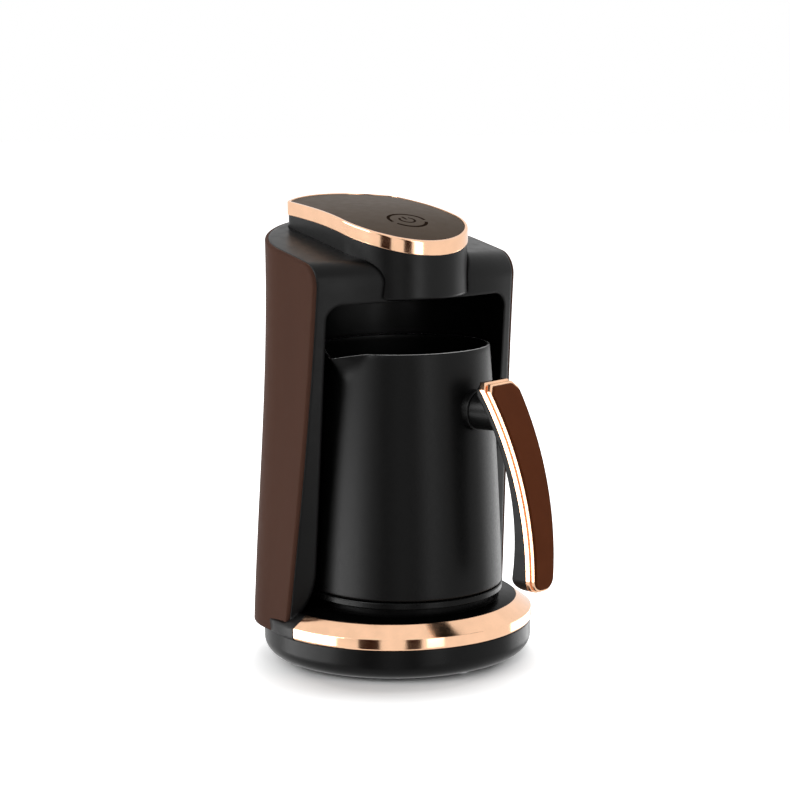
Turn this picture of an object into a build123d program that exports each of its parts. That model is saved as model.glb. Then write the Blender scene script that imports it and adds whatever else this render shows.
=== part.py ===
from build123d import *
from math import atan, cos, degrees, radians, sin, sqrt
import os

# Electric Turkish coffee maker, in millimetres. +Z is up, -Y is the front and +X is to the right
# of somebody who faces the machine. The origin is the centre of the round base, on the worktop.

# ---- Driving dimensions -------------------------------------------------------------------------
fit = 0.1  # clearance of pieces that slot into each other
run_gap = 0.08  # radial clearance of a sliding shaft
part_gap = 0.3  # visible joint line between two casings
wall = 2.4  # moulded casing wall

# Base
base_radius = 75.0
tub_top = 18.0
tub_edge = 8.5  # radius of the tub's lower edge
foot_proud = 1.2  # how far the feet lift the base
flange_width = 6.5
flange_thick = 2.0
cover_thick = 2.2
foot_radius = 8.0
foot_inset = 21.0  # from the base's edge to the middle of a foot
foot_count = 4

# Rose-gold ring around the front of the base, and the deck inside it
ring_lip = 0.5  # how far the ring overhangs the tub
ring_band = 6.4  # height of the upright band
ring_rise = 6.3  # rise of the sloping top
ring_slope = 7.9  # how far the sloping top reaches inwards
ring_ledge = 3.6
ring_ledge_thick = 1.8
ring_skin = 2.2
ring_shoulder = 1.4
ring_end = -10.5  # Y of the ring's two ends
deck_thick = 2.2
deck_rise = 1.8

# Pot seat: the pot stands a little in front of the base's centre
pot_y = -8.8
deck_hole_inset = 1.9  # from the pot's foot to the edge of the deck's hole
plate_inset = 6.0
plate_top = 36.5
plate_flange_thick = 1.5
plate_thick = 6.5
element_inset = 13.0
element_radius = 3.3
bracket_thick = 1.6
bracket_inset = 4.0
post_radius = 3.5
post_circle = 24.0
post_count = 3

# Spring-loaded temperature plunger in the middle of the hotplate
plunger_radius = 5.9
plunger_cap = 9.0
plunger_stem = 2.2
plunger_travel = 2.0
guide_wall = 1.8
guide_length = 15.0
spring_wire = 0.45
spring_turns = 5

# Column: plan sections at four heights, each with a shallow front arc, flanks and a half ellipse
column_heights = (tub_top, 110.0, 200.0, 256.0)
column_insets = (1.0, 5.8, 8.8, 8.8)  # how much narrower than the base each section is, at each side
column_fronts = (0.2, -11.8, -22.1, -28.0)
column_centres = (20.0, 17.0, 14.0, 14.0)
column_overhangs = (5.0, -0.6, -6.5, -4.5)  # how far each section stands out behind the base
front_arc = 200.0
skin_thick = 2.0
shoulder_radius = 13.0
skin_edge = 1.2

# Bay for the pot
bay_gap = 4.7  # room around the pot's foot
bay_top = 200.0
bay_corner = 9.0
bay_flare = 7.0
bay_flare_height = 22.0
ceiling = 2.2
pocket_start = 10.0  # Y where the hollow inside the casing begins

# Head: a long rounded nose over the pot
crown = (245.9, 0.194, -0.0021, 1.4e-5)  # its height along Y, as the terms of a cubic
column_crown = (228.4, 0.195, -0.0003, 0.0)  # the same for the column's top
crown_radius = 620.0  # how much the tops fall away to the sides
crown_sweep = 30.0  # the arc of that radius that the tops are cut from, in degrees
head_bottom = 200.9
panel_nose = 35.6
panel_nose_y = -7.0
panel_back_half = 35.2
panel_back_inset = 24.5
panel_back_bulge = 15.0
panel_back_corner = 7.0
panel_thick = 1.8
trim_width = 1.7
trim_height = 7.3
trim_step = 0.4
trim_ledge = 2.2
trim_round = 0.7
head_inset = 0.5
strip_half = 12.0  # the casing is left open behind the head where it would be too thin
opening_edge = 1.8  # rounding of the casing around the head
head_edge = 2.0
underside_thick = 2.2
window_radius = 5.0
window_y = -15.0

# Pot
pot_lift_gap = 0.2
pot_base_height = 3.8
pot_inset = 21.0  # how much smaller the pot's foot is than the base
pot_taper = 2.6  # how much narrower the waist is than the foot
pot_waist = 112.0
rim_taper = 6.2
pot_rim = 173.8
pot_wall = 1.8
pot_floor = 3.0
pot_ring_width = 4.2
pot_edge = 1.6
spout_angle = 192.0
spout_reach = 8.5
spout_tip = 3.0
spout_root = 13.0
spout_depth = 15.0
spout_drop = 3.0

# Handle, in a plane through the pot's axis
handle_angle = 286.5
handle_arc = 181.0
handle_arc_height = 61.3
handle_standoff = 41.3  # how far the handle's outermost point is from the pot's foot
handle_top = 157.7
handle_bottom = 48.2
handle_top_half = 12.7
handle_bottom_half = 8.3
handle_cut = 3.6  # the slanted cuts at its top corners
handle_round = 6.8  # the round corners at its foot
trim_depth = 5.0
trim_flange = 0.8
trim_flange_height = 2.6
trim_groove = 0.7
grip_heights = (152.0, 98.0, 55.0)
grip_depths = (9.5, 9.4, 14.0)  # from the handle's outer arc to the finger side, at those heights
grip_heel = 6.8  # rounding of the grip's lower end
panel_border = 1.05
panel_proud = 0.95
handle_panel_thick = 1.6
boss_height = 141.5
boss_radius = 11.0
boss_proud = 5.4  # how far the boss stands out of the pot's rim
stem_root = 10.2
stem_tip = 9.4
bolt_sink = 2.0  # how deep the bolt's head sits below the trim
bolt_radius = 2.0
bolt_head = 2.8
bolt_head_height = 1.4

# Electrics
board_thick = 1.6
main_board_width = 62.0
main_board_height = 110.0
main_board_bottom = 62.0
main_board_inset = 19.0
board_hole_inset = 5.0
boss_wall = 1.6
relay_size = (15.0, 9.0, 19.0)
transformer_size = (22.0, 8.0, 20.0)
icon_ring = 10.4
icon_ring_width = 1.2
gland_bore = 3.6
gland_wall = 2.4
gland_flange = 1.8
gland_length = 9.0
gland_height = 9.4
screw_radius = 1.5
screw_head = 2.8
screw_head_height = 1.8
screw_length = 6.0
flush_head_height = 1.1
deck_screw_length = 3.6
deck_screw_angles = (4.0, 176.0, 236.0, 304.0)
skirt_height = 6.0
wire_radius = 1.1
wire_bend = 3.0
wire_apart = 10.8
wire_back_inset = 4.0
lens_proud = 1.0
sensor_board_size = (22.0, 16.0)
icon_y = -14.5
guide_height = 3.0
touch_board_size = (40.0, 34.0)
led_count = 4
led_size = (2.0, 1.4)
buzzer_radius = 6.0
buzzer_height = 5.0
capacitor_radius = 4.5
capacitor_height = 8.0
terminal_x = 30.0
terminal_y = 35.0
terminal_size = (24.0, 12.0, 11.0)
seal_width = 1.6
element_sweep = 300.0
element_start = 120.0
pin_radius = 1.2
pin_length = 9.0
thermostat_x = 17.5
thermostat_radius = 7.0
thermostat_height = 11.0

# ---- Values worked out from them ----------------------------------------------------------------
reach = 130.0  # larger than any cut needs
flange_z = foot_proud + cover_thick
foot_circle = base_radius - foot_inset
ring_inner = base_radius - ring_slope
column_halves = tuple(base_radius - inset for inset in column_insets)
column_backs = tuple(base_radius + overhang for overhang in column_overhangs)
panel_back_y = base_radius - panel_back_inset
main_board_y = base_radius - main_board_inset
wire_back_y = base_radius - wire_back_inset
pot_bottom_radius = base_radius - pot_inset
pot_waist_radius = pot_bottom_radius - pot_taper
pot_rim_radius = pot_bottom_radius - rim_taper
deck_hole = pot_bottom_radius - deck_hole_inset
plate_radius = pot_bottom_radius - plate_inset
element_circle = plate_radius - element_inset
bracket_radius = plate_radius - bracket_inset
bay_half = pot_bottom_radius + bay_gap
boss_reach = pot_rim_radius + boss_proud
handle_reach = pot_bottom_radius + handle_standoff
flange_inner = base_radius - tub_edge - flange_width
cover_screw_circle = flange_inner + flange_width / 2
deck_edge_z = tub_top + ring_band + ring_rise - fit
deck_under = deck_edge_z - deck_thick
deck_lip_z = deck_edge_z + deck_rise
plate_under = plate_top - plate_thick
element_z = plate_under - element_radius
bracket_top = element_z - element_radius
pot_bottom = plate_top + pot_lift_gap
pot_body_z = pot_bottom + pot_base_height + part_gap
ceiling_top = bay_top + ceiling
pot_axis = Vector(0, pot_y, 0)
spout_out = Vector(cos(radians(spout_angle)), sin(radians(spout_angle)), 0)
spout_side = Vector(sin(radians(spout_angle)), -cos(radians(spout_angle)), 0)
handle_out = Vector(cos(radians(handle_angle)), sin(radians(handle_angle)), 0)
handle_side = Vector(-handle_out.Y, handle_out.X, 0)
handle_plane = Plane(origin=pot_axis, x_dir=handle_out, z_dir=-handle_side)
handle_face = Plane(origin=pot_axis, x_dir=handle_side, z_dir=handle_out)
os.makedirs("parts", exist_ok=True)


def handle_at(height, depth=0):
    """Distance from the pot's axis of the handle's outer arc at a height, a depth below its face."""
    return handle_reach - handle_arc + sqrt((handle_arc - depth) ** 2 - (height - handle_arc_height) ** 2)


grip_top, grip_middle, grip_foot = (
    (handle_at(height) - depth, height) for height, depth in zip(grip_heights, grip_depths)
)
stem_reach = handle_at(boss_height, trim_depth) - bolt_head_height - bolt_sink


def save(part, name):
    """Labels a finished piece and writes it as its own file."""
    part.label = name
    export_step(part, f"parts/{name}.step")


def crown_height(terms, u, v, w):
    """A crown's cubic in its blossomed form: its height at Y = u where u, v and w are equal."""
    middle, slope, bend, twist = terms
    return middle + slope * (u + v + w) / 3 + bend * (u * v + v * w + w * u) / 3 + twist * u * v * w


def below_crown(drop, terms=crown):
    """Everything under a crowned top surface, lowered by drop."""
    ends = ((-reach, -reach, -reach), (-reach, -reach, reach), (-reach, reach, reach), (reach, reach, reach))
    pivot = terms[0] - crown_radius
    tilt = radians(crown_sweep / 2)
    start = Plane(origin=(0, 0, pivot), x_dir=(0, 1, 0), z_dir=(cos(tilt), 0, sin(tilt)))
    with BuildPart() as block:
        with BuildSketch(start):
            with BuildLine():
                curve = Bezier(*((sum(knots) / 3, crown_height(terms, *knots) - drop - pivot) for knots in ends))
                Polyline(curve @ 1, (reach, -pivot), (-reach, -pivot), curve @ 0)
            make_face()
        revolve(axis=Axis((0, 0, pivot), (0, 1, 0)), revolution_arc=crown_sweep)
    return block.part


def column_section(station, inset, front_inset):
    """Plan of the column at one of its stations, drawn smaller by an inset."""
    half = column_halves[station] - inset
    centre = column_centres[station]
    back = column_backs[station] - inset
    outer_bulge = front_arc - sqrt(front_arc**2 - column_halves[station] ** 2)
    bulge = front_arc - sqrt(front_arc**2 - half**2)
    apex = column_fronts[station] - outer_bulge + front_inset
    with BuildSketch(Plane.XY.offset(column_heights[station])) as section:
        with BuildLine():
            ThreePointArc((-half, apex + bulge), (0, apex), (half, apex + bulge))
            Line((half, apex + bulge), (half, centre))
            EllipticalCenterArc((0, centre), half, back - centre, start_angle=0, arc_size=180)
            Line((-half, centre), (-half, apex + bulge))
        make_face()
    return section.sketch


def column_solid(inset, front_inset):
    """The column's outer form, drawn smaller by an inset all round."""
    with BuildPart() as solid:
        for station in range(len(column_heights)):
            add(column_section(station, inset, front_inset))
        loft()
    return solid.part


def head_plan(grow):
    """Plan of the head: a round nose, long flanks and a bowed back, grown outwards."""
    nose = panel_nose + grow
    back_half = panel_back_half + grow
    back_y = panel_back_y + grow
    with BuildSketch() as plan:
        with BuildLine():
            CenterArc((0, panel_nose_y), nose, 180, 180)
            right = TangentArc((nose, panel_nose_y), (back_half, back_y), tangent=(0, 1))
            ThreePointArc((back_half, back_y), (0, back_y + panel_back_bulge), (-back_half, back_y))
            mirror(right, about=Plane.YZ)
        make_face()
        fillet(plan.vertices().group_by(Axis.Y)[-1], radius=panel_back_corner + grow)
    return plan.sketch


def head_prism(grow, bottom, top):
    """The head's plan as an upright prism."""
    with BuildPart() as prism:
        with BuildSketch(Plane.XY.offset(bottom)):
            add(head_plan(grow))
        extrude(amount=top - bottom)
    return prism.part


def ring_profile():
    """Half section of the ring that finishes the top of the base, with the ledge for the deck."""
    outer = base_radius + ring_lip
    band_top = tub_top + ring_band
    slope_top = band_top + ring_rise
    with BuildSketch(Plane.XZ) as profile:
        with BuildLine():
            Polyline(
                (outer, tub_top),
                (outer, band_top),
                (ring_inner, slope_top),
                (ring_inner, deck_under),
                (ring_inner - ring_ledge, deck_under),
                (ring_inner - ring_ledge, ledge_under),
                (ring_inner + ring_ledge, ledge_under),
                (outer - ring_skin, band_top - ring_skin / 2),
                (outer - ring_skin, tub_top),
                close=True,
            )
        make_face()
        shoulder = profile.vertices().group_by(Axis.X)[-1].sort_by(Axis.Z)[-1]
        fillet(shoulder, radius=ring_shoulder)
    return profile.sketch


# ---- Base ---------------------------------------------------------------------------------------
with BuildPart() as base_tub:
    with BuildSketch(Plane.XZ):
        with BuildLine():
            low = (base_radius - tub_edge, foot_proud)
            side = (base_radius, foot_proud + tub_edge)
            inner_edge = tub_edge - wall
            RadiusArc(low, side, -tub_edge)
            Polyline(
                side,
                (base_radius, tub_top),
                (base_radius - wall, tub_top),
                (base_radius - wall, foot_proud + tub_edge),
            )
            inner_low = (base_radius - tub_edge, foot_proud + wall)
            RadiusArc((base_radius - wall, foot_proud + tub_edge), inner_low, inner_edge)
            Line(inner_low, low)
        make_face()
        with BuildLine():
            flange_outer = base_radius - tub_edge + fit
            Polyline(
                (flange_inner, flange_z),
                (flange_outer, flange_z),
                (flange_outer, flange_z + flange_thick),
                (flange_inner, flange_z + flange_thick),
                close=True,
            )
        make_face()
    revolve(axis=Axis.Z)
    gland_plane = Plane(origin=(0, base_radius, gland_height), x_dir=(1, 0, 0), z_dir=(0, 1, 0))
    with BuildSketch(gland_plane):
        Circle(gland_bore + gland_wall)
    extrude(amount=-tub_edge, mode=Mode.SUBTRACT)
    with BuildSketch(Plane.XY.offset(flange_z)):
        with PolarLocations(cover_screw_circle, foot_count):
            Circle(screw_radius)
    extrude(amount=flange_thick, mode=Mode.SUBTRACT)
save(base_tub.part, "base_tub")

cover_radius = base_radius - tub_edge - fit
pot_ground = Plane(origin=(0, pot_y, 0))
rim_places = PolarLocations(cover_screw_circle, foot_count)
post_places = PolarLocations(post_circle, post_count, start_angle=90)

with BuildPart() as base_cover:
    with BuildSketch(Plane.XY.offset(foot_proud)):
        Circle(cover_radius)
    extrude(amount=cover_thick)
    for plane, places in ((Plane.XY, rim_places), (pot_ground, post_places)):
        with BuildSketch(plane.offset(foot_proud)):
            with places:
                Circle(screw_radius)
        extrude(amount=cover_thick, mode=Mode.SUBTRACT)
        with BuildSketch(plane.offset(foot_proud)):
            with places:
                Circle(screw_head)
        extrude(amount=flush_head_height, mode=Mode.SUBTRACT)
    with BuildSketch(Plane.XY.offset(foot_proud)):
        with PolarLocations(foot_circle, foot_count, start_angle=45):
            Circle(foot_radius)
    extrude(amount=cover_thick / 2, mode=Mode.SUBTRACT)
save(base_cover.part, "base_cover")

with BuildPart() as rubber_feet:
    with BuildSketch():
        with PolarLocations(foot_circle, foot_count, start_angle=45):
            Circle(foot_radius)
    extrude(amount=foot_proud + cover_thick / 2)
    chamfer(rubber_feet.faces().sort_by(Axis.Z)[:foot_count].edges(), length=foot_proud / 3)
save(rubber_feet.part, "rubber_feet")


def screws(seat, places, length, head=screw_head_height, drive=-1):
    """Pan-head screws with their heads on a seat plane, driven down from it (-1) or up (1)."""
    with BuildPart() as group:
        with BuildSketch(seat):
            with places:
                Circle(screw_head)
        extrude(amount=-drive * head)
        with BuildSketch(seat):
            with places:
                Circle(screw_radius)
        extrude(amount=drive * length)
    return group.part


cover_seat = foot_proud + flush_head_height
with BuildPart() as cover_screws:
    add(screws(Plane.XY.offset(cover_seat), rim_places, screw_length, flush_head_height, 1))
save(cover_screws.part, "cover_screws")

with BuildPart() as post_screws:
    add(screws(pot_ground.offset(cover_seat), post_places, screw_length, flush_head_height, 1))
save(post_screws.part, "post_screws")


# ---- Ring and deck ------------------------------------------------------------------------------
ledge_under = deck_under - ring_ledge_thick
ledge_middle = ring_inner - ring_ledge / 2
deck_screw_places = Locations(
    *[(ledge_middle * cos(radians(angle)), ledge_middle * sin(radians(angle))) for angle in deck_screw_angles]
)

with BuildPart() as deck_screw_holes:
    with BuildSketch(Plane.XY.offset(ledge_under)):
        with deck_screw_places:
            Circle(screw_radius)
    extrude(amount=deck_screw_length)


with BuildPart() as base_trim_ring:
    add(ring_profile())
    revolve(axis=Axis.Z)
    split(bisect_by=Plane.XZ.offset(-ring_end), keep=Keep.TOP)
    add(deck_screw_holes.part, mode=Mode.SUBTRACT)
save(base_trim_ring.part, "base_trim_ring")


def deck_form(drop, shrink):
    """The deck's skewed cone, from the ring's round edge to the offset hole, above a disc."""
    with BuildPart() as form:
        with BuildSketch(Plane.XY.offset(deck_edge_z - drop)) as edge:
            Circle(ring_inner - shrink)
        with BuildSketch(Plane(origin=(0, pot_y, deck_lip_z - drop))):
            Circle(deck_hole)
        loft()
        extrude(edge.sketch, amount=-deck_thick)
    return form.part


with BuildPart() as deck_ring:
    add(deck_form(0, fit))
    add(deck_form(deck_thick, fit + deck_thick), mode=Mode.SUBTRACT)
    with BuildSketch(Plane(origin=(0, pot_y, 0))):
        Circle(deck_hole)
    extrude(amount=reach, mode=Mode.SUBTRACT)
    add(deck_screw_holes.part, mode=Mode.SUBTRACT)
save(deck_ring.part, "deck_ring")

with BuildPart() as deck_screws:
    add(screws(Plane.XY.offset(ledge_under), deck_screw_places, deck_screw_length, drive=1))
save(deck_screws.part, "deck_screws")

# ---- Column casing ------------------------------------------------------------------------------
with BuildPart() as column_block:
    add(column_solid(0, 0))
    add(below_crown(0, column_crown), mode=Mode.INTERSECT)
    shoulder = column_block.faces().sort_by(Axis.Z)[-1].edges().sort_by(Axis.Y)[0]
    fillet(shoulder, radius=shoulder_radius)
    rim_edges = column_block.faces().sort_by(Axis.Z)[-1].edges().sort_by(Axis.Y)[1:]
    fillet(rim_edges, radius=skin_edge)

skin_core = column_solid(skin_thick, -reach / 4)

with BuildPart() as column_skin:
    add(column_block.part)
    add(skin_core, mode=Mode.SUBTRACT)
save(column_skin.part, "column_skin")


def bay_form(grow, top):
    """The upright slot that the pot stands in: a half cylinder that runs out to the front."""
    with BuildPart() as bay:
        with BuildSketch(Plane.XY.offset(tub_top)):
            Circle(bay_half + grow)
            with Locations((0, -reach / 2)):
                Rectangle(2 * (bay_half + grow), reach)
        extrude(amount=top - tub_top)
    return Location((0, pot_y, 0)) * bay.part


with BuildPart() as bay_cut:
    add(bay_form(0, bay_top))
    fillet(bay_cut.faces().sort_by(Axis.Z)[-1].edges().sort_by(Axis.Y)[1:], radius=bay_corner)
    flare_z = deck_edge_z + fit
    with BuildSketch(Plane(origin=(0, pot_y, 0), x_dir=(1, 0, 0), z_dir=(0, -1, 0))):
        with BuildLine():
            Line((0, flare_z), (bay_half + bay_flare, flare_z))
            ThreePointArc(
                (bay_half + bay_flare, flare_z),
                (bay_half + 0.3 * bay_flare, flare_z + 0.45 * bay_flare_height),
                (bay_half, flare_z + bay_flare_height),
            )
            Polyline((bay_half, flare_z + bay_flare_height), (0, flare_z + bay_flare_height), (0, flare_z))
        make_face()
    revolve(axis=Axis(origin=(0, pot_y, 0), direction=(0, 0, 1)))

skirt_inner = base_radius - 2 * wall - fit
with BuildPart() as casing_cavity:
    add(column_solid(skin_thick + wall, shoulder_radius))
    add(below_crown(wall, column_crown), mode=Mode.INTERSECT)
    add(bay_form(wall, ceiling_top), mode=Mode.SUBTRACT)
    with BuildSketch(Plane.XY.offset(tub_top)):
        with Locations((0, pot_y)):
            Circle(bay_half + bay_flare + wall)
    extrude(amount=flare_z + bay_flare_height + wall - tub_top, mode=Mode.SUBTRACT)
    with BuildSketch(Plane.XY.offset(tub_top)):
        with Locations((0, pocket_start - reach)):
            Rectangle(2 * reach, 2 * reach)
    extrude(amount=ceiling_top - tub_top, mode=Mode.SUBTRACT)
    with BuildSketch(Plane.XY.offset(tub_top)):
        Rectangle(2 * reach, 2 * reach)
        Circle(skirt_inner, mode=Mode.SUBTRACT)
    extrude(amount=flange_thick, mode=Mode.SUBTRACT)

with BuildPart() as skirt:
    with BuildSketch(Plane.XY.offset(tub_top - skirt_height)):
        Circle(base_radius - wall - fit)
        Circle(skirt_inner, mode=Mode.SUBTRACT)
    extrude(amount=skirt_height + flange_thick)
    split(bisect_by=Plane.XZ.offset(-column_centres[0]), keep=Keep.BOTTOM)
    with BuildSketch(gland_plane):
        Circle(gland_bore + gland_wall + fit)
    extrude(amount=-gland_length, mode=Mode.SUBTRACT)

with BuildPart() as ring_collar:
    add(ring_profile())
    revolve(axis=Axis.Z)
    split(bisect_by=Plane.XZ.offset(-ring_end), keep=Keep.BOTTOM)
    split(bisect_by=Plane.XZ.offset(-column_centres[0]), keep=Keep.TOP)
    add(column_block.part, mode=Mode.SUBTRACT)

shell_grow = trim_width - head_inset
main_board_middle = main_board_bottom + main_board_height / 2
board_plane = Plane(origin=(0, main_board_y, main_board_middle), x_dir=(1, 0, 0), z_dir=(0, -1, 0))
hole_pitch_x = main_board_width - 2 * board_hole_inset
hole_pitch_z = main_board_height - 2 * board_hole_inset

with BuildPart() as head_opening:
    add(head_prism(shell_grow + part_gap, ceiling_top, reach * 2))

with BuildPart() as column_shell:
    add(column_block.part)
    add(skin_core, mode=Mode.INTERSECT)
    add(bay_cut.part, mode=Mode.SUBTRACT)
    add(casing_cavity.part, mode=Mode.SUBTRACT)
    with BuildSketch(board_plane):
        with GridLocations(hole_pitch_x, hole_pitch_z, 2, 2):
            Circle(screw_radius + boss_wall)
    extrude(amount=main_board_y - pot_y - bay_half / 2)
    add(bay_cut.part, mode=Mode.SUBTRACT)
    with BuildSketch(board_plane):
        with GridLocations(hole_pitch_x, hole_pitch_z, 2, 2):
            Circle(screw_radius)
    extrude(amount=screw_length - board_thick, mode=Mode.SUBTRACT)
    add(deck_form(0, 0), mode=Mode.SUBTRACT)
    with BuildSketch(Plane.XY.offset(tub_top)):
        Circle(ring_inner - ring_ledge)
    extrude(amount=deck_edge_z - tub_top, mode=Mode.SUBTRACT)
    with BuildSketch(Plane.XY.offset(tub_top)):
        Circle(skirt_inner)
    extrude(amount=ledge_under - tub_top, mode=Mode.SUBTRACT)
    add(skirt.part)
    add(ring_collar.part)
    add(deck_screw_holes.part, mode=Mode.SUBTRACT)
    add(head_opening.part, mode=Mode.SUBTRACT)
    with BuildSketch(Plane.XY.offset(ceiling_top)):
        with Locations((0, panel_back_y)):
            Rectangle(2 * strip_half, reach, align=(Align.CENTER, Align.MIN))
    extrude(amount=reach, mode=Mode.SUBTRACT)
    with BuildSketch(Plane.XY.offset(bay_top)):
        with Locations((0, window_y)):
            Circle(window_radius)
    extrude(amount=ceiling, mode=Mode.SUBTRACT)
save(column_shell.part, "column_shell")

# ---- Head ---------------------------------------------------------------------------------------
with BuildPart() as skin_zone:
    add(column_solid(0, 0))
    add(column_solid(skin_thick + fit, -reach / 4), mode=Mode.SUBTRACT)
    add(below_crown(-part_gap, column_crown), mode=Mode.INTERSECT)

with BuildPart() as column_zone:
    add(column_solid(-part_gap, -part_gap))
    with BuildSketch(Plane.XY.offset(ceiling_top)):
        Rectangle(2 * reach, 2 * reach)
    extrude(amount=reach, mode=Mode.SUBTRACT)
    add(skin_zone.part)

with BuildPart() as head_shell:
    add(head_prism(shell_grow, head_bottom, 2 * reach))
    add(below_crown(trim_height), mode=Mode.INTERSECT)
    fillet(head_shell.faces().sort_by(Axis.Z)[0].edges(), radius=head_edge)
    add(head_prism(shell_grow - wall, head_bottom, 2 * reach), mode=Mode.SUBTRACT)
    add(column_zone.part, mode=Mode.SUBTRACT)
save(head_shell.part, "head_shell")

with BuildPart() as nose_underside:
    add(head_prism(shell_grow - wall, head_bottom, head_bottom + underside_thick))
    add(column_solid(-part_gap, -part_gap), mode=Mode.SUBTRACT)
save(nose_underside.part, "nose_underside")

with BuildPart() as foam_sensor_lens:
    with BuildSketch(Plane.XY.offset(bay_top - lens_proud)):
        with Locations((0, window_y)):
            Circle(window_radius - fit)
    extrude(amount=ceiling + lens_proud)
    fillet(foam_sensor_lens.faces().sort_by(Axis.Z)[0].edges(), radius=lens_proud * 0.8)
    with BuildSketch(Plane.XY.offset(ceiling_top)):
        with Locations((0, window_y)):
            Circle(window_radius + lens_proud)
    extrude(amount=lens_proud)
save(foam_sensor_lens.part, "foam_sensor_lens")

lens_top = ceiling_top + lens_proud
with BuildPart() as foam_sensor_board:
    with BuildSketch(Plane.XY.offset(lens_top)):
        with Locations((0, window_y + sensor_board_size[1] / 4)):
            Rectangle(*sensor_board_size)
    extrude(amount=board_thick)
save(foam_sensor_board.part, "foam_sensor_board")

with BuildPart() as panel_seat:
    add(head_prism(fit, ceiling_top, 2 * reach))
    add(below_crown(trim_step + panel_thick), mode=Mode.SUBTRACT)

with BuildPart() as top_trim:
    add(head_prism(trim_width, ceiling_top, 2 * reach))
    add(below_crown(0), mode=Mode.INTERSECT)
    fillet(top_trim.faces().sort_by(Axis.Z)[-1].edges(), radius=trim_round)
    add(below_crown(trim_height), mode=Mode.SUBTRACT)
    add(head_prism(-trim_ledge, ceiling_top, 2 * reach), mode=Mode.SUBTRACT)
    add(panel_seat.part, mode=Mode.SUBTRACT)
save(top_trim.part, "top_trim")

with BuildPart() as top_panel:
    add(head_prism(0, ceiling_top, 2 * reach))
    add(below_crown(trim_step), mode=Mode.INTERSECT)
    add(below_crown(trim_step + panel_thick), mode=Mode.SUBTRACT)
save(top_panel.part, "top_panel")

icon_step = 1.0
icon_rise = crown_height(crown, *[icon_y + icon_step] * 3) - crown_height(crown, *[icon_y - icon_step] * 3)
icon_tilt = degrees(atan(icon_rise / (2 * icon_step)))
icon_z = crown_height(crown, icon_y, icon_y, icon_y) - trim_step - panel_thick
touch_plane = Plane(origin=(0, icon_y, icon_z - guide_height)).rotated((icon_tilt, 0, 0))

with BuildPart() as icon_light_guide:
    with BuildSketch(touch_plane):
        Circle(icon_ring + icon_ring_width)
        Circle(icon_ring - icon_ring_width, mode=Mode.SUBTRACT)
    extrude(amount=2 * guide_height)
    add(below_crown(trim_step + panel_thick), mode=Mode.INTERSECT)
save(icon_light_guide.part, "icon_light_guide")

with BuildPart() as touch_board:
    with BuildSketch(touch_plane):
        RectangleRounded(*touch_board_size, radius=screw_head)
    extrude(amount=-board_thick)
save(touch_board.part, "touch_board")

with BuildPart() as icon_leds:
    with BuildSketch(touch_plane):
        with PolarLocations(icon_ring / 2, led_count):
            Rectangle(*led_size)
    extrude(amount=guide_height / 2)
save(icon_leds.part, "icon_leds")

with BuildPart() as buzzer:
    with BuildSketch(touch_plane.offset(-board_thick)):
        with Locations((0, touch_board_size[1] / 4)):
            Circle(buzzer_radius)
    extrude(amount=-buzzer_height)
save(buzzer.part, "buzzer")

# ---- Control electronics in the column ----------------------------------------------------------
rear_of_board = board_plane.offset(-board_thick)

with BuildPart() as main_board:
    with BuildSketch(board_plane):
        Rectangle(main_board_width, main_board_height)
        with GridLocations(hole_pitch_x, hole_pitch_z, 2, 2):
            Circle(screw_radius, mode=Mode.SUBTRACT)
    extrude(amount=-board_thick)
save(main_board.part, "main_board")

with BuildPart() as board_screws:
    add(screws(rear_of_board, GridLocations(hole_pitch_x, hole_pitch_z, 2, 2), screw_length, drive=1))
save(board_screws.part, "board_screws")


def on_board(x, z):
    """A place on the rear of the main board, from its middle."""
    return Plane(origin=rear_of_board.from_local_coords((x, z, 0)), x_dir=(1, 0, 0), z_dir=(0, 1, 0))


with BuildPart() as power_relay:
    with BuildSketch(on_board(-main_board_width / 5, -main_board_height / 4)):
        Rectangle(relay_size[0], relay_size[2])
    extrude(amount=relay_size[1])
    fillet(power_relay.edges().filter_by(Axis.Y), radius=board_thick / 2)
save(power_relay.part, "power_relay")

with BuildPart() as transformer:
    with BuildSketch(on_board(0, main_board_height / 8)):
        Rectangle(transformer_size[0], transformer_size[2])
    extrude(amount=transformer_size[1])
    chamfer(transformer.edges().filter_by(Axis.Y), length=board_thick)
save(transformer.part, "transformer")

with BuildPart() as capacitor:
    with BuildSketch(on_board(main_board_width / 5, -main_board_height / 4)):
        Circle(capacitor_radius)
    extrude(amount=capacitor_height)
    fillet(capacitor.faces().sort_by(Axis.Y)[-1].edges(), radius=board_thick / 2)
save(capacitor.part, "capacitor")

with BuildPart() as cord_gland:
    with BuildSketch(gland_plane.offset(gland_flange)):
        Circle(gland_bore + gland_wall)
        Circle(gland_bore, mode=Mode.SUBTRACT)
    extrude(amount=-gland_length)
    with BuildSketch(gland_plane):
        Circle(gland_bore + gland_wall + gland_flange)
        Circle(gland_bore, mode=Mode.SUBTRACT)
    extrude(amount=gland_flange)
    fillet(cord_gland.faces().sort_by(Axis.Y)[-1].edges(), radius=gland_flange / 3)
save(cord_gland.part, "cord_gland")

with BuildPart() as terminal_block:
    with BuildSketch(Plane.XY.offset(flange_z)):
        with Locations((terminal_x, terminal_y)):
            RectangleRounded(*terminal_size[:2], radius=board_thick)
    extrude(amount=terminal_size[2])
save(terminal_block.part, "terminal_block")

# ---- Heater -------------------------------------------------------------------------------------
hole_radius = plunger_radius + run_gap

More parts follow.
